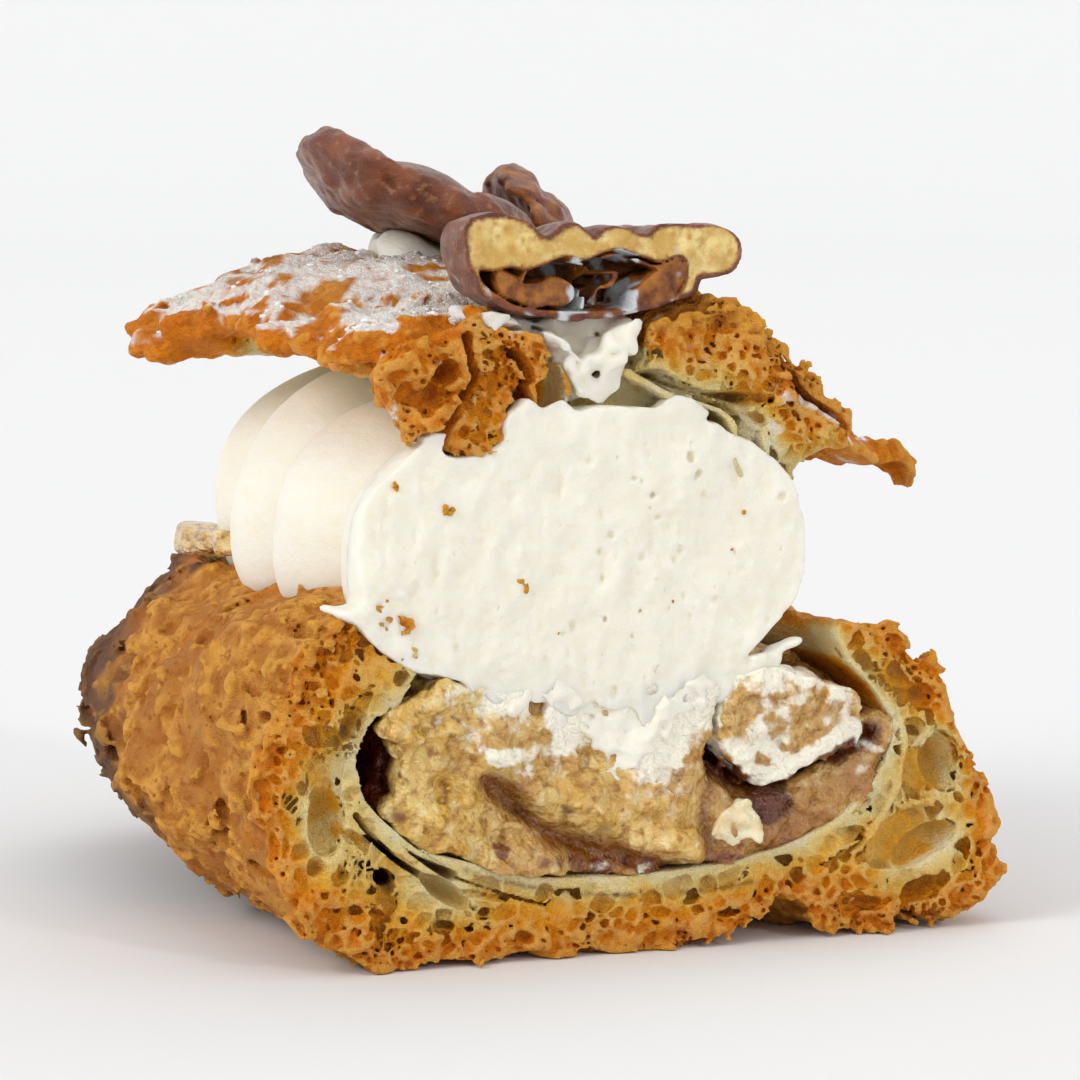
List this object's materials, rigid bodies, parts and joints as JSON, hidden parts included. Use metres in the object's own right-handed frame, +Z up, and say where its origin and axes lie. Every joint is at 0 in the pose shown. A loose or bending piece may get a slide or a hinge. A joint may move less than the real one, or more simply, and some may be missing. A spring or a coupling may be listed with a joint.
{
  "type": "eclair",
  "caption": "Cut half of a filled choux eclair: open crusty shell holding fruit compote, a rope of piped cream on top, and a choux lid carrying pecan halves.",
  "frame": {"origin": "middle of the footprint, on the plane the eclair rests on", "axes": "+Y along the eclair, from the cut face (at low Y) to its round end; +Z up; +X across, towards the side with the folded foot"},
  "size_m": [0.0492, 0.061, 0.0503],
  "materials": {
    "crust": "dry baked crust, matt",
    "cream": "soft whipped cream, matt",
    "compote": "wet cooked fruit, glossy",
    "apple": "wet cooked apple, glossy",
    "pecan": "nut skin, faintly glossy"
  },
  "bodies": {
    "root": {"choux_shell": "crust", "choux_lid": "crust", "piped_cream": "cream", "cream_dab_front": "cream", "cream_dab_back": "cream", "compote": "compote", "apple_left": "apple", "apple_right": "apple", "apple_far": "apple", "pecan_front": "pecan", "pecan_tipped": "pecan", "pecan_leaning": "pecan", "pecan_inside": "pecan"}
  },
  "joints": []
}
